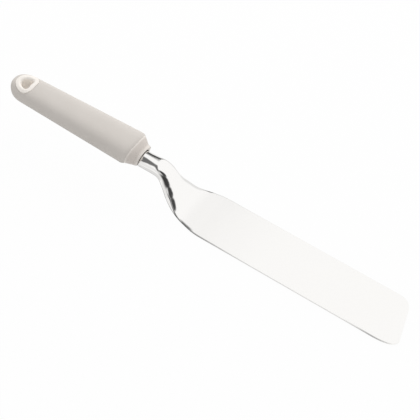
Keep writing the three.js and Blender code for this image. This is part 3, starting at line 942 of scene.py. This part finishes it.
join_x = eye_front + EYE_END
front_ring = handle_ring(join_x)
half_ring = OVAL_POINTS // 2
side_places = spread(join_x, butt + BUTT_ROUND, SIDE_STEPS)[1:]
for turn in spread(0, math.pi / 2, BUTT_STEPS)[1:]:
    side_places.append(butt + BUTT_ROUND * (1 - math.sin(turn) ** (2 / BUTT_PLAN_POWER)))
side_outline = [(x, handle_size(x)[0]) for x in side_places]
rim_plan = [(point.x, point.y) for point in front_ring[:half_ring + 1]]
rim_plan += [(x, -y) for x, y in side_outline] + side_outline[-2::-1]
spoke_angles = [math.atan2(y, x - eye_middle) for x, y in rim_plan]
print(len(spoke_angles), "spokes round the eye")

# %% [markdown]
# Each spoke starts on the window's wall, rolls over its small round edge and runs out over the face.
# At the sides and the butt its points crowd towards the outline, because the face turns under there.

# %% Loops over the spokes
def crowding(x):
    """How strongly a spoke's points crowd towards the outline, where the side turns under."""
    return mix(1.0, CROWDING, smooth_step(abs(x - join_x), 0.0, CROWDING_REACH))


def spoke_loops(side):
    """Loops from the middle of the window out to the handle's outline, above (1) or below (-1)."""
    loops = []
    starts = [eye_point(angle, WINDOW_GAP + WINDOW_ROUND) for angle in spoke_angles]
    brows = [handle_top(x, y) - handle_z for x, y in starts]
    loops.append([(*eye_point(angle, WINDOW_GAP), 0.0) for angle in spoke_angles])
    loops.append([(*eye_point(angle, WINDOW_GAP), brow - WINDOW_WALL)
                  for angle, brow in zip(spoke_angles, brows)])
    for turn in spread(math.pi / 2, 0, 4):
        inset = WINDOW_GAP + WINDOW_ROUND * (1 - math.sin(turn))
        loops.append([(*eye_point(angle, inset), brow - WINDOW_ROUND * (1 - math.cos(turn)))
                      for angle, brow in zip(spoke_angles, brows)])
    for step in range(1, SPOKE_STEPS):
        loop = []
        for (x, y), (end_x, end_y) in zip(starts, rim_plan):
            share = 1 - (1 - step / SPOKE_STEPS) ** crowding(end_x)
            here = mix(x, end_x, share), mix(y, end_y, share)
            loop.append((*here, handle_top(*here) - handle_z))
        loops.append(loop)
    ends = [(x, y, handle_top(x, y) - handle_z if 0 < index < half_ring else 0.0)
            for index, (x, y) in enumerate(rim_plan)]
    loops.append(ends)
    return [[Vector((x, y, handle_z + side * up)) for x, y, up in loop] for loop in loops]

# %% [markdown]
# The rest of the grip is rings. They start to lean four millimetres before the shoulder, follow the
# shoulder down, turn in over its small round edge and go back inside as the wall of the hollow.

# %% The whole grip
GRIP_WALL = 2.4
GRIP_SHOULDER = 3.4
SHOULDER_DROP = 1.2
FRONT_ROUND = 0.2
LEAN_RUN = 4
HOLLOW_START = 6.0
HOLLOW_TO_EYE = 1.5
LENGTH_STEPS = 40

lean_start = grip_front - GRIP_SHOULDER - LEAN_RUN
grip_rings = [handle_ring(x) for x in spread(join_x, lean_start, LENGTH_STEPS)]
for step in range(1, LEAN_RUN + 1):
    grip_rings.append(handle_ring(lean_start + step, 0.0, FRONT_LEAN * step / LEAN_RUN))
for share in spread(0, 1 - FRONT_ROUND / GRIP_SHOULDER, 10)[1:]:
    x = grip_front - GRIP_SHOULDER * (1 - share)
    grip_rings.append(handle_ring(x, -SHOULDER_DROP * share ** 2, FRONT_LEAN))
last_drop = SHOULDER_DROP * (1 - FRONT_ROUND / GRIP_SHOULDER) ** 2
for turn in spread(0, math.pi / 2, 5)[1:]:
    x = grip_front - FRONT_ROUND * (1 - math.sin(turn))
    grip_rings.append(handle_ring(x, -last_drop - FRONT_ROUND * (1 - math.cos(turn)), FRONT_LEAN))
grip_rings.append(handle_ring(grip_front, FIT - GRIP_WALL, FRONT_LEAN))
for x in spread(grip_front - HOLLOW_START, eye_front + HOLLOW_TO_EYE, 6):
    grip_rings.append(handle_ring(x, FIT - GRIP_WALL))

mesh = bmesh.new()
skin(mesh, spoke_loops(1))
skin(mesh, spoke_loops(-1))
skin(mesh, grip_rings, close_end=True)
to_piece("soft_grip", mesh, soft_rubber, "grip_sleeve")

# %% [markdown]
# ## Ivory core: nose and lip
# The core shows in front of the grip as a short nose that narrows to a lip round the shank. Nose and
# lip lean with the front of the grip, and the lip is a slight bead. A tapered cylinder could do neither,
# so each ring has its own size, height and lean.

# %% Rings of the nose and the lip
NOSE_STEP = 0.1
NOSE_BULGE = 1.15
LIP_POWER = 2.3
LIP_HALF_WIDTH = 9.5
LIP_HALF_HEIGHT = 6.95
LIP_TAPER = 0.4
LIP_LEAN = 0.244
LIP_ROUND = 0.45
LIP_BEAD = 0.12

lip_z = edge_z + (arch_rise + SHEET / 2) / 2


def nose_ring(x, share, growth=0.0):
    """A ring between the grip's front oval (share 0) and the lip's (share 1)."""
    base_width, base_height = (half - SHOULDER_DROP - NOSE_STEP for half in handle_size(grip_front))
    return oval_ring(
        x, mix(base_width, LIP_HALF_WIDTH + LIP_TAPER, share) + growth,
        mix(base_height, LIP_HALF_HEIGHT + LIP_TAPER, share) + growth,
        mix(handle_z, lip_z, share), mix(OVAL_POWER, LIP_POWER, share), mix(FRONT_LEAN, LIP_LEAN, share))

# %% [markdown]
# The lip's face has a recess that follows the steel channel with an even gap, down to a sill at the
# channel's edges. It is wanted at several sizes, for its small round edge, and each of its points has to
# face a point of the lip, so it is turned into radius by angle, as the eye was.

# %% Recess round the shank
MOUTH_GAP = 0.7
MOUTH_SILL = 1.5
MOUTH_DEPTH = 2.4
MOUTH_ROUND = 0.12
MOUTH_CENTRE = 5.0
ARCH_POINTS, SILL_POINTS = 401, 160
mouth_middle = edge_z + MOUTH_CENTRE


@lru_cache(maxsize=None)
def mouth_radii(growth):
    """Angles and radii of the recess: an arch over the shank, down to a sill at its edges."""
    half_width = SHANK_HALF_WIDTH + MOUTH_GAP + growth
    height = SHANK_HEIGHT + MOUTH_GAP + growth
    sill = MOUTH_SILL - growth
    start = math.asin((sill / height) ** (ARCH_POWER / 2))
    turns = np.linspace(start, math.pi - start, ARCH_POINTS)
    points = list(zip(half_width * squared(np.cos(turns), ARCH_POWER),
                      height * squared(np.sin(turns), ARCH_POWER)))
    points += [(y, sill) for y in spread(points[-1][0], points[0][0], SILL_POINTS)[1:-1]]
    lift = edge_z - mouth_middle
    pairs = sorted((math.atan2(z + lift, y), math.hypot(y, z + lift)) for y, z in points)
    return np.array([angle for angle, _ in pairs]), np.array([radius for _, radius in pairs])


def mouth_ring(x, growth, guide, lean=0.0):
    """A ring of the recess whose points face those of a guide ring."""
    points = []
    for spot in guide:
        angle = math.atan2(spot.z - mouth_middle, spot.y)
        radius = float(np.interp(angle, *mouth_radii(growth), period=2 * math.pi))
        z = mouth_middle + radius * math.sin(angle)
        points.append(Vector((x + lean * (z - lip_z), radius * math.cos(angle), z)))
    return points

# %% [markdown]
# The rings then run from under the grip over the nose and the lip and into the recess. Each one notes
# its share of the nose's painted shade and how deep in the recess it lies, for the finish.

# %% Rings of the core
CORE_TO_EYE = 2.2
SEAM_DROP = 1.0
# Shares of the nose's painted shade: at the seam, on the lip, and where it comes in along the nose.
SEAM_SHADE, LIP_SHADE = 0.2, 0.5
NOSE_SHADE_STARTS = (-0.05, 0.3)
MOUTH_STEPS = 4
core_rings, nose_shade_share, recess_depth = [], [], []


def add_core(ring, nose_shade=1.0, recess=0.0):
    """Adds a ring of the core, with its share of the nose's painted shade and how deep in the recess it
    lies.
    """
    core_rings.append(ring)
    nose_shade_share.append(nose_shade)
    recess_depth.append(recess)


for x in spread(eye_front + CORE_TO_EYE, grip_front - HOLLOW_START, 6):
    add_core(handle_ring(x, -GRIP_WALL))
add_core(nose_ring(grip_front - 2 * FIT, 0, -SEAM_DROP), SEAM_SHADE)
add_core(nose_ring(grip_front - FIT, 0), SEAM_SHADE)
for share in spread(0, 1, 14)[1:]:
    add_core(nose_ring(mix(grip_front, nose_front, share), share ** NOSE_BULGE),
             smooth_step(share, *NOSE_SHADE_STARTS))
lip_flat = LIP_LENGTH - LIP_ROUND
for share in spread(0, 1, 6)[1:]:
    bead = LIP_BEAD * math.sin(math.pi * share) - LIP_TAPER * share
    add_core(nose_ring(nose_front + lip_flat * share, 1, bead), mix(1, LIP_SHADE, share))
for turn in spread(0, math.pi / 2, 6)[1:]:
    add_core(nose_ring(lip_front - LIP_ROUND * (1 - math.sin(turn)), 1,
                       -LIP_TAPER - LIP_ROUND * (1 - math.cos(turn))), LIP_SHADE)
guide = core_rings[-1]
# Down the recess the painted shade grows, and the bottom ring is painted fully dark.
for step, turn in enumerate(spread(0, math.pi / 2, MOUTH_STEPS)):
    add_core(mouth_ring(lip_front - MOUTH_ROUND * (1 - math.cos(turn)),
                        MOUTH_ROUND * (1 - math.sin(turn)), guide, LIP_LEAN),
             LIP_SHADE, step / MOUTH_STEPS)
add_core(mouth_ring(lip_front - MOUTH_DEPTH, 0.0, guide), 1.0, 1.0)
print("Core of", len(core_rings), "rings")

# %% [markdown]
# The rings become one closed skin, and what each of them noted goes into two layers of the mesh, which
# the finish reads.

# %% Skin of the core
mesh = bmesh.new()
nose_shade_layer = mesh.verts.layers.float.new("nose_shade")
recess_layer = mesh.verts.layers.float.new("recess")
loops = skin(mesh, core_rings, close_start=True, close_end=True)
# The two layers carry the painted shade of the nose and of the recess.
for loop, nose_shade, recess in zip(loops, nose_shade_share, recess_depth):
    for vert in loop:
        vert[nose_shade_layer] = nose_shade
        vert[recess_layer] = recess
to_piece("ivory_core", mesh, ivory_plastic, "handle_core")

# %% [markdown]
# ## Ivory core: the rim of the hanging eye
# The rim is the same moulding where it comes through the grip at the butt. It stands half a
# millimetre proud of the grip, its outer edge is small and round, and it rolls softly into the hole.
# An extruded outline would have a flat top. Each loop here takes its height from the handle's own face,
# so the rim follows the handle's crown.

# %% Rim of the eye
RIM_PROUD = 0.5
RIM_ROUND = 0.45
HOLE_ROUND = 2.2
RIM_WALL, HOLE_WALL = 2.0, 3.0
RIM_POINTS = 120

rim_angles = [2 * math.pi * index / RIM_POINTS for index in range(RIM_POINTS)]


def rim_loop(inset, drop):
    """A loop of the rim at an inset from its outside, at a drop below its own top."""
    loop = []
    for angle in rim_angles:
        x, y = eye_point(angle, -inset)
        edge_x, edge_y = eye_point(angle, -min(max(inset, RIM_ROUND), EYE_RIM - HOLE_ROUND))
        loop.append((x, y, handle_top(edge_x, edge_y, RIM_PROUD) - handle_z - drop))
    return loop


upper = [[(*eye_point(angle, 0.0), 0.0) for angle in rim_angles], rim_loop(0.0, RIM_WALL)]
for turn in spread(0, math.pi / 2, 5):
    upper.append(rim_loop(RIM_ROUND * (1 - math.cos(turn)), RIM_ROUND * (1 - math.sin(turn))))
for share in spread(0, 1, 5)[1:-1]:
    upper.append(rim_loop(mix(RIM_ROUND, EYE_RIM - HOLE_ROUND, share), 0.0))
for turn in spread(0, math.pi / 2, 8):
    upper.append(rim_loop(EYE_RIM - HOLE_ROUND * (1 - math.sin(turn)), HOLE_ROUND * (1 - math.cos(turn))))
upper.append(rim_loop(EYE_RIM, HOLE_WALL))
upper.append([(*eye_point(angle, -EYE_RIM), 0.0) for angle in rim_angles])

mesh = bmesh.new()
for side in (1, -1):
    skin(mesh, [[Vector((x, y, handle_z + side * up)) for x, y, up in loop] for loop in upper])
to_piece("ivory_eye_rim", mesh, ivory_plastic, "handle_core")
